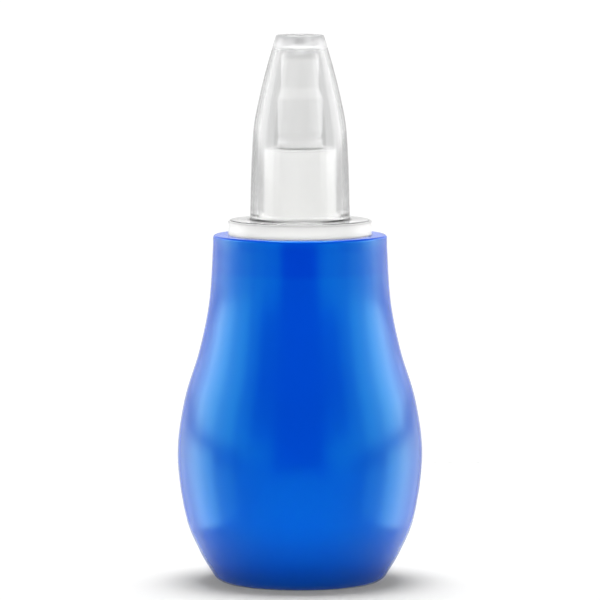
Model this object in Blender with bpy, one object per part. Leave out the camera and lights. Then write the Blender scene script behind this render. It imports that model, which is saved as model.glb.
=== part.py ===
"""Bulb nasal aspirator: squeeze bulb, neck plug, suction stem and clear tip.

Metres, +Z up. Every piece is turned about the Z axis, and the origin is the centre of the flat base.
Each outline runs as (radius, height) pairs round the cut face of its piece.
"""

import math

import bmesh
import bpy
from mathutils import Vector
from mathutils.geometry import interpolate_bezier

MM = 0.001

# Driving dimensions
OVERALL_HEIGHT = 110 * MM
FIT_GAP = 0.3 * MM  # between fitted pieces
SIDES = 40
STEM_SIDES = 32

# Squeeze bulb: soft wall, thick lip, flat base
BULB_HEIGHT = 69.9 * MM
BASE_RADIUS = 15.1 * MM
BASE_CORNER = 2.6 * MM
BASE_CORNER_TURN = 58  # degrees, to where the corner meets the sloping wall
BELLY_RADIUS = 24.6 * MM
BELLY_HEIGHT = 25.4 * MM
LIP_RADIUS = 17.46 * MM
LIP_CROWN = 0.6 * MM  # rise of the lip's crest over its edges
BULB_WALL = 1.9 * MM
NECK_BORE = 14.2 * MM
NECK_BORE_FLOOR = 61.5 * MM

# Neck plug: collar on the lip, skirt in the bore, barrel inside the tip
COLLAR_RADIUS = 14.4 * MM
COLLAR_TOP = 72.8 * MM
COLLAR_EDGE = 0.5 * MM
COLLAR_SEAT = 71.9 * MM  # floor of the recess that holds the tip's flange
SKIRT_FOOT = 63.0 * MM
SKIRT_WALL = 1.6 * MM
BOSS_RADIUS = 8.2 * MM
BOSS_TOP = 73.6 * MM
BARREL_RADIUS = 7.27 * MM
BARREL_TOP = 87.2 * MM
BARREL_WALL = 1.3 * MM
BARREL_ROOF = 2.0 * MM
SOCKET_RADIUS = 3.3 * MM

# Suction stem: spigot in the barrel's socket, stepped tube above
STEM_FOOT = 80.0 * MM
STEM_TOP = 107.2 * MM
STEM_LOWER_RADIUS = 4.5 * MM
STEM_UPPER_RADIUS = 3.8 * MM
STEM_STEP_FOOT = 97.4 * MM
STEM_STEP_TOP = 99.4 * MM
STEM_CHAMFER = 1.4 * MM
STEM_BORE = 1.9 * MM

# Clear tip: flange, thin wall, thick end with the suction hole
FLANGE_THICKNESS = 0.75 * MM
TIP_ROOT_RADIUS = 10.0 * MM
TIP_ROOT_FILLET = 0.8 * MM
TIP_END_RADIUS = 4.7 * MM
TIP_END_CORNER = 0.4 * MM
TIP_WALL = 1.25 * MM
TIP_END_THICKNESS = 2.3 * MM
SUCTION_HOLE = 1.5 * MM


def arc(centre, radius, start, end, steps=4):
    """Points on a circular arc, with its angles in degrees from the +radius direction."""
    turns = [math.radians(start + (end - start) * i / steps) for i in range(steps + 1)]
    return [(centre[0] + radius * math.cos(t), centre[1] + radius * math.sin(t)) for t in turns]


def smooth_through(points, steps=2):
    """A smooth curve through the points, as Bezier spans whose handles follow the neighbours."""
    knots = [Vector((r, 0, z)) for r, z in points]
    curve = [points[0]]
    for i in range(len(knots) - 1):
        before = knots[max(i - 1, 0)]
        after = knots[min(i + 2, len(knots) - 1)]
        leave = knots[i] + (knots[i + 1] - before) / 6
        arrive = knots[i + 1] - (after - knots[i]) / 6
        span = interpolate_bezier(knots[i], leave, arrive, knots[i + 1], steps + 1)
        curve += [(p.x, p.z) for p in span[1:]]
    return curve


def moved_in(points, wall):
    """The same line moved by the wall's thickness to its left, which is towards the axis going up."""
    moved = []
    for i, (r, z) in enumerate(points):
        before, after = points[max(i - 1, 0)], points[min(i + 1, len(points) - 1)]
        along = Vector((after[0] - before[0], after[1] - before[1])).normalized()
        moved.append((r - wall * along.y, z + wall * along.x))
    return moved


def turned(name, outline, origin_height, sides, material):
    """One closed solid from an outline turned about Z, with its object's origin on the axis."""
    bm = bmesh.new()
    verts = [bm.verts.new((r, 0, z - origin_height)) for r, z in outline]
    edges = [bm.edges.new(pair) for pair in zip(verts, verts[1:])]
    if outline[0][0] > 0:
        edges.append(bm.edges.new((verts[-1], verts[0])))
    bmesh.ops.spin(
        bm,
        geom=verts + edges,
        cent=(0, 0, 0),
        axis=(0, 0, 1),
        angle=math.tau,
        steps=sides,
        use_merge=True,
    )
    bmesh.ops.remove_doubles(bm, verts=bm.verts, dist=0.001 * MM)
    bmesh.ops.recalc_face_normals(bm, faces=bm.faces)
    mesh = bpy.data.meshes.new(name)
    bm.to_mesh(mesh)
    bm.free()
    mesh.shade_smooth()
    mesh.set_sharp_from_angle(angle=math.radians(35))
    mesh.materials.append(material)
    piece = bpy.data.objects.new(name, mesh)
    bpy.context.scene.collection.objects.link(piece)
    piece.location.z = origin_height
    return piece


def plastic(name, colour, roughness, transmission=0.0):
    material = bpy.data.materials.new(name)
    material.use_nodes = True
    shader = material.node_tree.nodes["Principled BSDF"]
    shader.inputs["Base Color"].default_value = (*colour, 1)
    shader.inputs["Roughness"].default_value = roughness
    shader.inputs["Metallic"].default_value = 0
    shader.inputs["Transmission Weight"].default_value = transmission
    return material


def bulb_outline():
    corner_centre = (BASE_RADIUS, BASE_CORNER)
    corner = arc(corner_centre, BASE_CORNER, -90, BASE_CORNER_TURN - 90)
    lip_edge = BULB_HEIGHT - LIP_CROWN
    wall = smooth_through(
        [
            corner[-1],
            (20.2 * MM, 6.1 * MM),
            (23.0 * MM, 13.2 * MM),
            (BELLY_RADIUS, BELLY_HEIGHT),
            (23.2 * MM, 36.6 * MM),
            (20.2 * MM, 46.6 * MM),
            (18.2 * MM, 56.6 * MM),
            (LIP_RADIUS, lip_edge),
        ]
    )
    lip_middle = (LIP_RADIUS + NECK_BORE) / 2
    lip = [
        (LIP_RADIUS - 0.5 * MM, BULB_HEIGHT - 0.2 * MM),
        (lip_middle, BULB_HEIGHT),
        (NECK_BORE + 0.5 * MM, BULB_HEIGHT - 0.2 * MM),
        (NECK_BORE, lip_edge),
    ]
    inside = [p for p in moved_in(wall, BULB_WALL) if p[1] < NECK_BORE_FLOOR - 4 * MM]
    inside_floor = [(BASE_RADIUS - 0.5 * MM, BULB_WALL), (0, BULB_WALL)]
    skin = [(0, 0), *corner[:-1], *wall]
    return [*skin, *lip, (NECK_BORE, NECK_BORE_FLOOR), *reversed(inside), *inside_floor]


def plug_outline():
    skirt_radius = NECK_BORE - FIT_GAP
    skirt_bore = skirt_radius - SKIRT_WALL
    barrel_bore = BARREL_RADIUS - BARREL_WALL
    deck_foot = COLLAR_SEAT - 1.7 * MM
    recess_radius = COLLAR_RADIUS - COLLAR_EDGE
    edge = arc((recess_radius, COLLAR_TOP - COLLAR_EDGE), COLLAR_EDGE, 0, 80)
    return [
        (skirt_bore, SKIRT_FOOT),
        (skirt_radius - 0.4 * MM, SKIRT_FOOT),
        (skirt_radius, SKIRT_FOOT + 0.8 * MM),
        (skirt_radius, BULB_HEIGHT - 0.1 * MM),
        (COLLAR_RADIUS, BULB_HEIGHT + 0.7 * MM),
        *edge,
        (recess_radius, COLLAR_SEAT),
        (BOSS_RADIUS, COLLAR_SEAT),
        (BOSS_RADIUS, BOSS_TOP - 0.2 * MM),
        (BOSS_RADIUS - 0.2 * MM, BOSS_TOP),
        (BARREL_RADIUS, BOSS_TOP),
        (BARREL_RADIUS, BARREL_TOP - 0.3 * MM),
        (BARREL_RADIUS - 0.3 * MM, BARREL_TOP),
        (SOCKET_RADIUS, BARREL_TOP),
        (SOCKET_RADIUS, BARREL_TOP - BARREL_ROOF),
        (barrel_bore, BARREL_TOP - BARREL_ROOF),
        (barrel_bore, deck_foot),
        (skirt_bore, deck_foot),
    ]


def stem_outline():
    spigot_radius = SOCKET_RADIUS - FIT_GAP
    shoulder = BARREL_TOP + FIT_GAP
    top_radius = STEM_UPPER_RADIUS - STEM_CHAMFER * 0.85
    return [
        (STEM_BORE, STEM_FOOT),
        (spigot_radius - 0.3 * MM, STEM_FOOT),
        (spigot_radius, STEM_FOOT + 0.6 * MM),
        (spigot_radius, shoulder),
        (STEM_LOWER_RADIUS, shoulder),
        (STEM_LOWER_RADIUS, shoulder + 1.2 * MM),
        (STEM_LOWER_RADIUS - 0.35 * MM, shoulder + 2.0 * MM),
        (STEM_LOWER_RADIUS, shoulder + 3.2 * MM),
        (STEM_LOWER_RADIUS, STEM_STEP_FOOT),
        (STEM_UPPER_RADIUS, STEM_STEP_TOP),
        (STEM_UPPER_RADIUS, STEM_TOP - STEM_CHAMFER),
        (top_radius, STEM_TOP),
        (STEM_BORE, STEM_TOP),
    ]


def tip_outline():
    flange_foot = COLLAR_SEAT + FIT_GAP
    flange_top = flange_foot + FLANGE_THICKNESS
    flange_radius = COLLAR_RADIUS - COLLAR_EDGE - FIT_GAP
    root = TIP_ROOT_RADIUS + TIP_ROOT_FILLET
    fillet = arc((root, flange_top + TIP_ROOT_FILLET), TIP_ROOT_FILLET, -90, -180, 3)
    end_corner = (TIP_END_RADIUS - TIP_END_CORNER, OVERALL_HEIGHT - TIP_END_CORNER)
    wall = smooth_through(
        [
            fillet[-1],
            (9.85 * MM, 81.0 * MM),
            (9.45 * MM, 89.6 * MM),
            (8.7 * MM, 95.0 * MM),
            (6.85 * MM, 102.8 * MM),
            (5.0 * MM, 109.2 * MM),
        ]
    )
    cavity_top = OVERALL_HEIGHT - TIP_END_THICKNESS
    inside = [p for p in moved_in(wall, TIP_WALL) if p[1] < cavity_top - 1 * MM]
    bore = BOSS_RADIUS + FIT_GAP
    return [
        (bore, flange_foot),
        (flange_radius, flange_foot),
        (flange_radius, flange_top - 0.2 * MM),
        (flange_radius - 0.2 * MM, flange_top),
        *fillet[:-1],
        *wall,
        *arc(end_corner, TIP_END_CORNER, 15, 90, 2),
        (SUCTION_HOLE, OVERALL_HEIGHT),
        (SUCTION_HOLE, cavity_top),
        (4.3 * MM, cavity_top),
        *reversed(inside[1:]),
        (bore, BOSS_TOP + FIT_GAP),
    ]


for leftover in list(bpy.data.objects):
    bpy.data.objects.remove(leftover)

blue_soft = plastic("blue_soft_pvc", (0.0, 0.075, 0.62), 0.22)
white_plastic = plastic("white_plug_plastic", (0.86, 0.86, 0.85), 0.35)
milky_plastic = plastic("milky_stem_plastic", (0.80, 0.81, 0.81), 0.4)
clear_plastic = plastic("clear_tip_plastic", (0.97, 0.97, 0.98), 0.04, transmission=1.0)

bulb = turned("squeeze_bulb", bulb_outline(), 0, SIDES, blue_soft)
plug = turned("neck_plug", plug_outline(), BULB_HEIGHT, SIDES, white_plastic)
stem = turned("suction_stem", stem_outline(), BARREL_TOP, STEM_SIDES, milky_plastic)
tip = turned("clear_tip", tip_outline(), COLLAR_SEAT, SIDES, clear_plastic)

# The squeeze moves the plug with all it carries. The tip comes off before the stem can, so it rides on it.
for piece, carrier in ((plug, bulb), (stem, plug), (tip, stem)):
    piece.parent = carrier
    piece.location.z -= carrier.matrix_world.translation.z
    bpy.context.view_layer.update()
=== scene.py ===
import math

import bmesh
import bpy
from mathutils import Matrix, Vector
from mathutils.geometry import interpolate_bezier


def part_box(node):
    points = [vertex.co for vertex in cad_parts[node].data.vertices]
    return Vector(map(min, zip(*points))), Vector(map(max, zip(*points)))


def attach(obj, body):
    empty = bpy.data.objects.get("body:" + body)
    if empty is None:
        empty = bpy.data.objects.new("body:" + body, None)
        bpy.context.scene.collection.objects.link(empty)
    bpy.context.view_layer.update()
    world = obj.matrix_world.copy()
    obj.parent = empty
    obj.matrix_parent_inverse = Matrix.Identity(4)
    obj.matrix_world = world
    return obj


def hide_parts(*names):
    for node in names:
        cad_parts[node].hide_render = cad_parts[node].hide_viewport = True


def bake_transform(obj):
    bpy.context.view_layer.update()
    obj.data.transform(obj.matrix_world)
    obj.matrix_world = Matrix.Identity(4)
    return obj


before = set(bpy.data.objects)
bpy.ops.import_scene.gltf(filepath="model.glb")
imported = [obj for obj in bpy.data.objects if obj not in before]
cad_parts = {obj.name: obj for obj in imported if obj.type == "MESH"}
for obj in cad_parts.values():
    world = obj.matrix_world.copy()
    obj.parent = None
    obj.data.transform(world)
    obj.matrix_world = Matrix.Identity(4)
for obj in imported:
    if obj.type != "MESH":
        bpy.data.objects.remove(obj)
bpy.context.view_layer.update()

# --- Squeeze bulb ---
# A hollow bulb of soft, deep blue PVC, cast in a polished mould, with a rounded lip at its neck
# and a flat foot to stand on. The mould gives it its gloss, and handling leaves faint smudges.

MM = 0.001
WELD_DISTANCE = 0.001 * MM
lip_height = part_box("squeeze_bulb")[1].z
LIP_RADIUS = 17.46 * MM
NECK_BORE = 14.2 * MM
BULB_FLOOR = 1.9 * MM


def curve_through(points, steps=8):
    """A smooth line through (radius, height) points, as Bezier spans.

    Each handle is a sixth of the way between the points on either side of its own.
    """
    knots = [Vector((radius, 0, height)) for radius, height in points]
    line = [points[0]]
    for i in range(len(knots) - 1):
        start, end = knots[i], knots[i + 1]
        before = knots[max(i - 1, 0)]
        after = knots[min(i + 2, len(knots) - 1)]
        leave = start + (end - before) / 6
        arrive = end - (after - start) / 6
        span = interpolate_bezier(start, leave, arrive, end, steps + 1)
        line += [(p.x, p.z) for p in span[1:]]
    return line


def turned_piece(name, outline, sides=128):
    """Spin an outline of (radius, height) points about the axis.

    A third number on a point rounds that corner by so much. An outline that starts on the axis
    also ends there, and any other is closed.
    """
    bm = bmesh.new()
    verts = []
    corners = []
    for radius, height, *rounding in outline:
        verts.append(bm.verts.new((radius, 0, height)))
        if rounding:
            corners.append((verts[-1], rounding[0]))
    on_axis = outline[0][0] == 0
    for pair in zip(verts, verts[1:] if on_axis else verts[1:] + verts[:1]):
        bm.edges.new(pair)
    for corner, rounding in corners:
        bmesh.ops.bevel(
            bm,
            geom=[corner],
            offset=rounding,
            segments=5,
            profile=0.5,
            affect="VERTICES",
            material=-1,
        )
    bmesh.ops.spin(
        bm,
        geom=bm.verts[:] + bm.edges[:],
        cent=(0, 0, 0),
        axis=(0, 0, 1),
        angle=math.tau,
        steps=sides,
        use_merge=True,
    )
    bmesh.ops.remove_doubles(bm, verts=bm.verts, dist=WELD_DISTANCE)
    bmesh.ops.recalc_face_normals(bm, faces=bm.faces)
    mesh = bpy.data.meshes.new(name)
    bm.to_mesh(mesh)
    bm.free()
    mesh.shade_smooth()
    piece = bpy.data.objects.new(name, mesh)
    bpy.context.scene.collection.objects.link(piece)
    piece.modifiers.new("even_shading", "WEIGHTED_NORMAL")
    return piece


class Finish:
    """A socket among a material's nodes. Arithmetic adds Math nodes, and node() adds any other."""

    def __init__(self, tree, socket=None):
        self.tree = tree
        self.socket = socket

    def node(self, kind, settings=None, values=None, output=0):
        made = self.tree.nodes.new(kind)
        for name, setting in (settings or {}).items():
            if name == "stops":
                stops = made.color_ramp.elements
                for i, (place, shade) in enumerate(setting):
                    stop = stops[i] if i < 2 else stops.new(place)
                    stop.position = place
                    stop.color = (shade, shade, shade, 1)
            else:
                setattr(made, name, setting)
        for name, value in (values or {}).items():
            self.join(value, made.inputs[name])
        return Finish(self.tree, made.outputs[output] if made.outputs else None)

    def join(self, value, target):
        if isinstance(value, Finish):
            self.tree.links.new(value.socket, target)
        else:
            target.default_value = value

    def maths(self, operation, a, b):
        return self.node("ShaderNodeMath", {"operation": operation}, {0: a, 1: b})

    def __add__(self, other):
        return self.maths("ADD", self, other)

    __radd__ = __add__

    def __sub__(self, other):
        return self.maths("SUBTRACT", self, other)

    def __rsub__(self, other):
        return self.maths("SUBTRACT", other, self)

    def __mul__(self, other):
        return self.maths("MULTIPLY", self, other)

    __rmul__ = __mul__

    def ramp(self, *stops):
        """Shades between stops of (value, shade), for a value from 0 to 1."""
        return self.node("ShaderNodeValToRGB", {"stops": stops}, {"Fac": self})

    def shade_up(self, *stops, reach=100 * MM):
        """Shades up a piece, between stops of (height, shade). None is higher than the reach."""
        height = self.node("ShaderNodeSeparateXYZ", {}, {0: self}, output="Z")
        return (1 / reach * height).ramp(*[(z / reach, shade) for z, shade in stops])

    def mixed(self, first, second):
        """The first colour where this value is 0, and the second where it is 1."""
        colours = {0: self, 6: first, 7: second}
        return self.node("ShaderNodeMix", {"data_type": "RGBA"}, colours, output=2)

    def specks(self, per_metre, detail):
        """Even noise, with about this many spots to the metre."""
        values = {"Vector": self, "Scale": per_metre, "Detail": detail}
        return self.node("ShaderNodeTexNoise", {}, values)

    def bump(self, height, strength, depth):
        values = {"Height": height, "Strength": strength, "Distance": depth}
        return self.node("ShaderNodeBump", {}, values)


def finish(name, piece, **shader_values):
    """A new Principled material on the piece: its object coordinates, and its shader's sockets."""
    material = bpy.data.materials.new(name)
    material.use_nodes = True
    tree = material.node_tree
    shader = tree.nodes["Principled BSDF"]
    for socket, value in shader_values.items():
        shader.inputs[socket.replace("_", " ")].default_value = value
    piece.data.materials.append(material)
    return Finish(tree).node("ShaderNodeTexCoord", output="Object"), shader.inputs


# The outer wall goes from the foot's corner out to the belly and in to the neck, and the inner
# wall comes back down beside it. The neck is left thicker, to grip the plug's skirt.
outer_wall = curve_through(
    [
        (17.9 * MM, 2.2 * MM),
        (20.2 * MM, 6.1 * MM),
        (23.0 * MM, 13.2 * MM),
        (24.6 * MM, 25.4 * MM),
        (23.2 * MM, 36.6 * MM),
        (20.2 * MM, 46.6 * MM),
        (18.2 * MM, 56.6 * MM),
        (LIP_RADIUS, lip_height - 2 * MM),
    ]
)
inner_wall = curve_through(
    [
        (NECK_BORE, 61.5 * MM),
        (16.25 * MM, 57.0 * MM),
        (18.3 * MM, 46.3 * MM),
        (21.3 * MM, 36.2 * MM),
        (22.7 * MM, 25.4 * MM),
        (21.1 * MM, 13.8 * MM),
        (18.6 * MM, 7.3 * MM),
        (16.6 * MM, 4.0 * MM),
    ],
    steps=3,
)
lip = [
    (LIP_RADIUS, lip_height, 0.55 * MM),
    (NECK_BORE, lip_height, 0.3 * MM),
]
bulb = turned_piece(
    "squeeze_bulb_skin",
    [
        (0, 0),
        (16.54 * MM, 0, 1.44 * MM),
        *outer_wall,
        *lip,
        *inner_wall,
        (15.1 * MM, BULB_FLOOR, 1.2 * MM),
        (0, BULB_FLOOR),
    ],
)

NECK_LIT_BLUE = (0.0, 0.060, 0.60, 1)
FOOT_SHADE_BLUE = (0.0, 0.036, 0.34, 1)
SKIRT_SHADOW_BLUE = (0.0, 0.046, 0.57, 1)
SHEEN_TINT = (0.03, 1, 1, 1)
place, gloss = finish("polished_blue_pvc", bulb, IOR=1.6, Specular_Tint=SHEEN_TINT)
smudges = place.specks(per_metre=70, detail=3)
orange_peel = place.specks(per_metre=900, detail=1)
dye = place.specks(per_metre=35, detail=2)

# Painted light and shade: the blue is painted darker towards the foot and lighter towards the neck,
# as light through the wall would make it, and a painted shadow of the plug's skirt darkens a band
# below the lip.
painted_light_up_bulb = place.shade_up((1 * MM, 0.06), (14 * MM, 0.74), (38 * MM, 0.74), (56 * MM, 1))
skirt_shadow = place.shade_up((62 * MM, 0), (63.2 * MM, 1), (68 * MM, 1), (69.2 * MM, 0))
blue = (painted_light_up_bulb - 0.12 * dye).mixed(FOOT_SHADE_BLUE, NECK_LIT_BLUE)
place.join(skirt_shadow.mixed(blue, SKIRT_SHADOW_BLUE), gloss["Base Color"])
place.join(0.19 + 0.08 * smudges, gloss["Roughness"])
relief = place.bump(orange_peel + 2 * smudges, strength=0.10, depth=0.05 * MM)
place.join(relief, gloss["Normal"])

# No blue light falls from the bulb on to the white pieces and the card.
bulb.visible_diffuse = False
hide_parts("squeeze_bulb")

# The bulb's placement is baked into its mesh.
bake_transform(bulb)

# --- Neck plug ---
# A white polypropylene plug, moulded in one piece and pushed into the bulb's neck. Its collar
# sits on the lip, a shallow recess in the collar takes the tip's flange, and a hollow barrel rises
# from it to hold the stem.

plug_foot, plug_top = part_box("neck_plug")
barrel_top = plug_top.z
SKIRT_RADIUS = NECK_BORE - 0.05 * MM
SKIRT_BORE = 12.3 * MM
DECK_FOOT = 70.2 * MM
COLLAR_RADIUS = 14.4 * MM
COLLAR_TOP = 72.8 * MM
SEAT = 71.9 * MM
RECESS_RADIUS = COLLAR_RADIUS - 0.28 * MM
BOSS_RADIUS = 8.2 * MM
BOSS_TOP = 73.6 * MM
BARREL_RADIUS = 7.27 * MM
BARREL_BORE = 5.97 * MM
SOCKET_RADIUS = 3.06 * MM
SOCKET_DEPTH = 2 * MM
plug = turned_piece(
    "white_neck_plug",
    [
        (SKIRT_BORE, plug_foot.z, 0.2 * MM),
        (SKIRT_RADIUS - 0.4 * MM, plug_foot.z, 0.2 * MM),
        (SKIRT_RADIUS, plug_foot.z + 1.2 * MM, 0.4 * MM),
        (SKIRT_RADIUS, lip_height - 0.15 * MM),
        (COLLAR_RADIUS, lip_height - 0.05 * MM, 0.12 * MM),
        (COLLAR_RADIUS, COLLAR_TOP, 0.18 * MM),
        (RECESS_RADIUS, COLLAR_TOP, 0.08 * MM),
        (RECESS_RADIUS, SEAT, 0.1 * MM),
        (BOSS_RADIUS, SEAT, 0.15 * MM),
        (BOSS_RADIUS, BOSS_TOP, 0.2 * MM),
        (BARREL_RADIUS, BOSS_TOP, 0.3 * MM),
        (BARREL_RADIUS, barrel_top, 0.35 * MM),
        (SOCKET_RADIUS, barrel_top, 0.15 * MM),
        (SOCKET_RADIUS, barrel_top - SOCKET_DEPTH),
        (BARREL_BORE, barrel_top - SOCKET_DEPTH, 0.3 * MM),
        (BARREL_BORE, DECK_FOOT),
        (SKIRT_BORE, DECK_FOOT, 0.5 * MM),
    ],
)

COOL_WHITE = (0.84, 0.84, 0.83, 1)
WARM_WHITE = (0.88, 0.878, 0.868, 1)
SHADE_GREY = (0.45, 0.45, 0.45, 1)
place, gloss = finish(
    "satin_white_polypropylene",
    plug,
    IOR=1.49,
    Subsurface_Weight=0.35,
    Subsurface_Radius=(1.0, 1.0, 1.0),
    Subsurface_Scale=1.2 * MM,
)
flow = place.specks(per_metre=120, detail=3)
texture = place.specks(per_metre=1600, detail=2)

# Painted shade: a grey band darkens the collar's side towards its top edge, the crease round the
# tip's flange, and the arris at the barrel's top.
shade_band = place.shade_up(
    (71.2 * MM, 0),
    (72.45 * MM, 0.4),
    (72.65 * MM, 1),
    (72.85 * MM, 0.3),
    (72.9 * MM, 0),
    (barrel_top - 0.5 * MM, 0),
    (barrel_top - 0.1 * MM, 0.6),
)
white = flow.mixed(COOL_WHITE, WARM_WHITE)
place.join(shade_band.mixed(white, SHADE_GREY), gloss["Base Color"])
place.join(0.26 + 0.16 * flow, gloss["Roughness"])
place.join(place.bump(texture, strength=0.08, depth=0.05 * MM), gloss["Normal"])
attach(plug, "plug")
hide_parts("neck_plug")

# --- Suction stem ---
# A stepped tube of milky polypropylene with a bore right through it. Its spigot pushes into the
# barrel's socket. A shallow groove near its foot gives the nails a hold for pulling it out.

stem_foot, stem_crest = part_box("suction_stem")
SHOULDER = barrel_top + 0.04 * MM
SPIGOT_RADIUS = 3.0 * MM
STEM_RADIUS = 4.5 * MM
UPPER_RADIUS = 3.8 * MM
MOUTH_RADIUS = 2.6 * MM
STEM_BORE = 1.9 * MM
GROOVE_DEPTH = 0.35 * MM
stem = turned_piece(
    "milky_suction_stem",
    [
        (STEM_BORE, stem_foot.z, 0.2 * MM),
        (SPIGOT_RADIUS, stem_foot.z, 0.4 * MM),
        (SPIGOT_RADIUS, SHOULDER),
        (STEM_RADIUS, SHOULDER, 0.15 * MM),
        (STEM_RADIUS, 88.7 * MM, 0.15 * MM),
        (STEM_RADIUS - GROOVE_DEPTH, 89.5 * MM, 0.3 * MM),
        (STEM_RADIUS, 90.7 * MM, 0.3 * MM),
        (STEM_RADIUS, 97.4 * MM, 0.4 * MM),
        (UPPER_RADIUS, 99.4 * MM, 0.4 * MM),
        (UPPER_RADIUS, stem_crest.z - 1.4 * MM, 0.5 * MM),
        (MOUTH_RADIUS, stem_crest.z, 0.25 * MM),
        (STEM_BORE, stem_crest.z, 0.15 * MM),
    ],
    sides=96,
)

THICK_MILK = (0.73, 0.73, 0.73, 1)
THIN_MILK = (0.78, 0.778, 0.773, 1)
MOUTH_SHADE_GREY = (0.42, 0.42, 0.42, 1)
place, gloss = finish(
    "milky_polypropylene",
    stem,
    IOR=1.49,
    Subsurface_Weight=0.6,
    Subsurface_Radius=(1.0, 1.0, 1.0),
    Subsurface_Scale=2 * MM,
)
flow = place.specks(per_metre=150, detail=3)
texture = place.specks(per_metre=1600, detail=2)
# Painted shade: the stem is painted grey from just below its top upwards, for the dark band at its
# mouth.
mouth_shade = place.shade_up((104.9 * MM, 0), (106.2 * MM, 1), reach=112 * MM)
milky = flow.mixed(THICK_MILK, THIN_MILK)
place.join(mouth_shade.mixed(milky, MOUTH_SHADE_GREY), gloss["Base Color"])
place.join(0.30 + 0.16 * flow, gloss["Roughness"])
place.join(place.bump(texture, strength=0.08, depth=0.05 * MM), gloss["Normal"])
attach(stem, "stem")
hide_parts("suction_stem")

# --- Clear tip ---
# A thin-walled cone of clear polystyrene with a thick end and a suction hole through it. Its
# flange drops into the collar's recess, and its bore grips the boss on the plug.

end_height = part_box("clear_tip")[1].z
FLANGE_FOOT = SEAT + 0.05 * MM
FLANGE_TOP = 72.95 * MM
FLANGE_RADIUS = RECESS_RADIUS - 0.08 * MM
GRIP_RADIUS = BOSS_RADIUS + 0.1 * MM
CAVITY_RADIUS = 8.6 * MM
CAVITY_TOP = end_height - 2.3 * MM
SUCTION_HOLE = 1.5 * MM
# The outside tapers from the root to the thick end, and the inside comes back down to the root.
outside = curve_through(
    [
        (10.0 * MM, 74.0 * MM),
        (9.85 * MM, 81.0 * MM),
        (9.5 * MM, 88.8 * MM),
        (9.1 * MM, 92.8 * MM),
        (8.3 * MM, 96.8 * MM),
        (7.38 * MM, 100.8 * MM),
        (6.3 * MM, 104.8 * MM),
        (5.0 * MM, 109.2 * MM),
    ]
)
inside = curve_through(
    [
        (5.4 * MM, 104.2 * MM),
        (6.2 * MM, 100.5 * MM),
        (7.3 * MM, 96.2 * MM),
        (8.0 * MM, 91.4 * MM),
        (8.27 * MM, 87.0 * MM),
        (CAVITY_RADIUS, 76.0 * MM),
    ]
)
tip = turned_piece(
    "clear_suction_tip",
    [
        (GRIP_RADIUS, FLANGE_FOOT),
        (FLANGE_RADIUS, FLANGE_FOOT, 0.1 * MM),
        (FLANGE_RADIUS, FLANGE_TOP, 0.15 * MM),
        (10.05 * MM, FLANGE_TOP, 0.7 * MM),
        *outside,
        (4.75 * MM, end_height, 0.4 * MM),
        (SUCTION_HOLE, end_height, 0.25 * MM),
        (SUCTION_HOLE, CAVITY_TOP, 0.2 * MM),
        (4.4 * MM, CAVITY_TOP, 0.5 * MM),
        *inside,
        (CAVITY_RADIUS, 73.8 * MM),
        (GRIP_RADIUS, 73.5 * MM),
    ],
)

CLEAR = (0.88, 0.882, 0.882, 1)
CLOUDY = (0.78, 0.782, 0.785, 1)
place, gloss = finish("clear_polystyrene", tip, IOR=1.55, Transmission_Weight=1.0)
haze = place.specks(per_metre=110, detail=3)
ripple = place.specks(per_metre=160, detail=1)
cloudy_end = place.shade_up((106.1 * MM, 0), (108 * MM, 1), reach=112 * MM)
place.join(cloudy_end.mixed(CLEAR, CLOUDY), gloss["Base Color"])
place.join(0.09 + 0.10 * haze + 0.22 * cloudy_end, gloss["Roughness"])
place.join(place.bump(ripple, strength=0.05, depth=0.1 * MM), gloss["Normal"])

# Clear plastic holds back almost no light, so the stem and barrel are lit as if it wasn't there.
tip.visible_shadow = False
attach(tip, "tip")
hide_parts("clear_tip")

# --- Table ---
# A strip of matt, pale card that the foot stands on. It takes the soft shadow at the foot, and its
# far edges are lost in the white surround.

CARD_HALF_WIDTH = 0.044
CARD_FRONT = -0.176
CARD_BACK = 0.2
bm = bmesh.new()
bmesh.ops.create_grid(bm, x_segments=1, y_segments=1, size=1)
half_size = (CARD_HALF_WIDTH, (CARD_BACK - CARD_FRONT) / 2, 1)
bmesh.ops.scale(bm, verts=bm.verts, vec=half_size)
bmesh.ops.translate(bm, verts=bm.verts, vec=(0, (CARD_BACK + CARD_FRONT) / 2, 0))
card_mesh = bpy.data.meshes.new("pale_card")
bm.to_mesh(card_mesh)
bm.free()
card = bpy.data.objects.new("pale_card", card_mesh)
bpy.context.scene.collection.objects.link(card)
place, gloss = finish("matt_pale_card", card, Base_Color=(0.9, 0.9, 0.9, 1), Roughness=0.9)

# --- Studio light ---
# A white surround that dims towards the viewer, a round lamp overhead, and soft panels in pairs at
# the sides. Two pairs light the pieces, and the rest show only in the gloss.

BACKDROP = 1.05
BACKDROP_THROUGH_TIP = 0.60
AFTER_A_BOUNCE = 0.25
world = bpy.data.worlds.new("white_studio")
bpy.context.scene.world = world
world.use_nodes = True
world.node_tree.nodes.clear()
sky = Finish(world.node_tree)
direction = sky.node("ShaderNodeTexCoord", output="Generated")
away = sky.node("ShaderNodeSeparateXYZ", {}, {0: direction}, output="Y")
behind = 0.5 + 0.5 * away
around = behind.ramp((0.25, 0.06), (0.79, 0.12), (0.87, 0.30), (0.94, 0.55), (0.98, 1))

# The surround seen directly, or through the clear tip, has a brightness of its own. Light that
# bounces off a matt face counts for less, which keeps the shadow at the foot dark.
seen = sky.node("ShaderNodeLightPath", output="Is Camera Ray")
bounces = sky.node("ShaderNodeLightPath", output="Diffuse Depth")
direct = bounces.maths("LESS_THAN", bounces, 0.5)
through = direct * sky.node("ShaderNodeLightPath", output="Is Transmission Ray")
lighting = around * (AFTER_A_BOUNCE + (1 - AFTER_A_BOUNCE) * direct)
strength = lighting * (1 - seen - through) + BACKDROP * seen + BACKDROP_THROUGH_TIP * through
wall = sky.node("ShaderNodeBackground", {}, {"Color": (1, 1, 1, 1), "Strength": strength})
sky.node("ShaderNodeOutputWorld", {}, {"Surface": wall})


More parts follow.
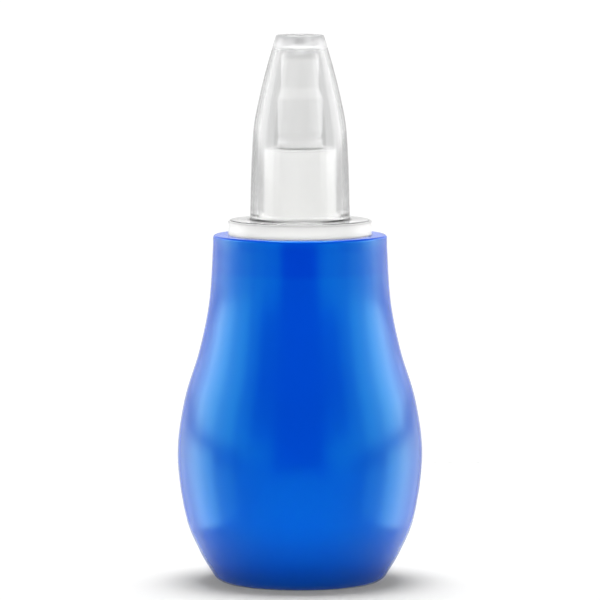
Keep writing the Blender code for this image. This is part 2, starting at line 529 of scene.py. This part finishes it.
def soft_panel(name, turn, foot, head, width, radiance, distance=0.8, gloss_only=True):
    """An upright panel. Turn is degrees round from the viewer, and foot and head are its edges."""
    light = bpy.data.lights.new(name, "AREA")
    light.shape = "RECTANGLE"
    light.size = width
    light.size_y = head - foot
    light.energy = radiance * math.pi * width * (head - foot)
    panel = bpy.data.objects.new(name, light)
    angle = math.radians(turn)
    middle = distance * Vector((math.sin(angle), -math.cos(angle), 0))
    panel.location = middle + Vector((0, 0, (head + foot) / 2))
    panel.rotation_euler = (-middle).to_track_quat("-Z", "Y").to_euler()
    panel.visible_camera = False
    panel.visible_diffuse = not gloss_only
    panel.visible_glossy = gloss_only
    panel.visible_transmission = False
    bpy.context.scene.collection.objects.link(panel)


PANEL_FOOT = -0.40
PANEL_HEAD = 0.50
for side, way in (("right", 1), ("left", -1)):
    soft_panel(
        f"front_fill_{side}",
        turn=44 * way,
        foot=-0.13,
        head=0.20,
        width=0.8,
        radiance=11.1,
        distance=1.2,
        gloss_only=False,
    )
    soft_panel(
        f"rim_fill_{side}",
        turn=128 * way,
        foot=-0.18,
        head=0.11,
        width=0.35,
        radiance=13,
        gloss_only=False,
    )
    # Each row: name, turn, width, the two heights where the brightness changes, and the brightness
    # below, between and above them.
    for part, turn, width, low, high, below, between, above in (
        ("wing", 37, 0.35, -0.098, 0.072, 1.0, 0.15, 0.35),
        ("near", 58, 0.25, -0.098, 0.072, 1.0, 0.25, 1.5),
        ("front", 77, 0.31, -0.080, 0.072, 2.0, 1.1, 3.3),
        ("bright", 104, 0.44, 0.026, 0.084, 3.6, 0.5, 4.7),
        ("back", 125, 0.18, 0.026, 0.084, 2.3, 0.3, 2.5),
        ("rim", 141, 0.27, 0.026, 0.084, 1.1, 0.3, 1.2),
    ):
        soft_panel(f"{part}_{side}_upper", turn * way, high, PANEL_HEAD, width, above)
        soft_panel(f"{part}_{side}_middle", turn * way, low, high, width, between)
        soft_panel(f"{part}_{side}_lower", turn * way, PANEL_FOOT, low, width, below)

LAMP_WIDTH = 0.50
LAMP_RADIANCE = 9.8
top_light = bpy.data.lights.new("overhead_lamp", "AREA")
top_light.shape = "DISK"
top_light.size = LAMP_WIDTH
top_light.energy = LAMP_RADIANCE * math.pi * math.pi * (LAMP_WIDTH / 2) ** 2
top_lamp = bpy.data.objects.new("overhead_lamp", top_light)
top_lamp.location = (0, 0.08, 0.70)
top_lamp.rotation_euler = top_lamp.location.to_track_quat("Z", "Y").to_euler()
top_lamp.visible_camera = False
top_lamp.visible_transmission = False
bpy.context.scene.collection.objects.link(top_lamp)

# --- Camera ---
# A long lens a little over a metre from the object and slightly above it, looking down on it.

DOWNWARD_TILT = math.radians(5.13)
camera_data = bpy.data.cameras.new("camera")
camera_data.lens = 335.1
camera_data.sensor_width = 36
camera_data.clip_end = 20
camera = bpy.data.objects.new("camera", camera_data)
camera.location = (0, -1.117, 0.157)
camera.rotation_euler = (math.pi / 2 - DOWNWARD_TILT, 0, 0)
bpy.context.scene.collection.objects.link(camera)
bpy.context.scene.camera = camera
bpy.context.scene.view_settings.view_transform = "Standard"
